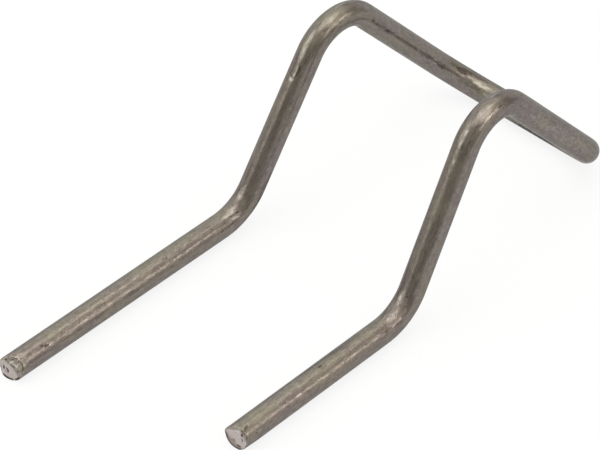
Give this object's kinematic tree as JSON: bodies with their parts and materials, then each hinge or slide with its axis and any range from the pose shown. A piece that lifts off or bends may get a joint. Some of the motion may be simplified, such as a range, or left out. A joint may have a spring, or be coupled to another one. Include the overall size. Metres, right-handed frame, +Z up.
{
  "type": "safety clip",
  "caption": "Safety clip of round steel wire bent into a humped U, with straight legs of unequal length that push through holes to lock a joint.",
  "frame": {"origin": "on the ground, under the middle of the clip's length and width", "axes": "+Y from the leg tips towards the crossbar of the U, +Z up, the longer leg on the -X side"},
  "size_m": [0.0372, 0.0967, 0.0307],
  "materials": {
    "steel_wire": "cold-drawn, semi-matte, with die lines and bright scuffs at the bends"
  },
  "bodies": {
    "root": {"wire_form": "steel_wire"}
  },
  "joints": []
}
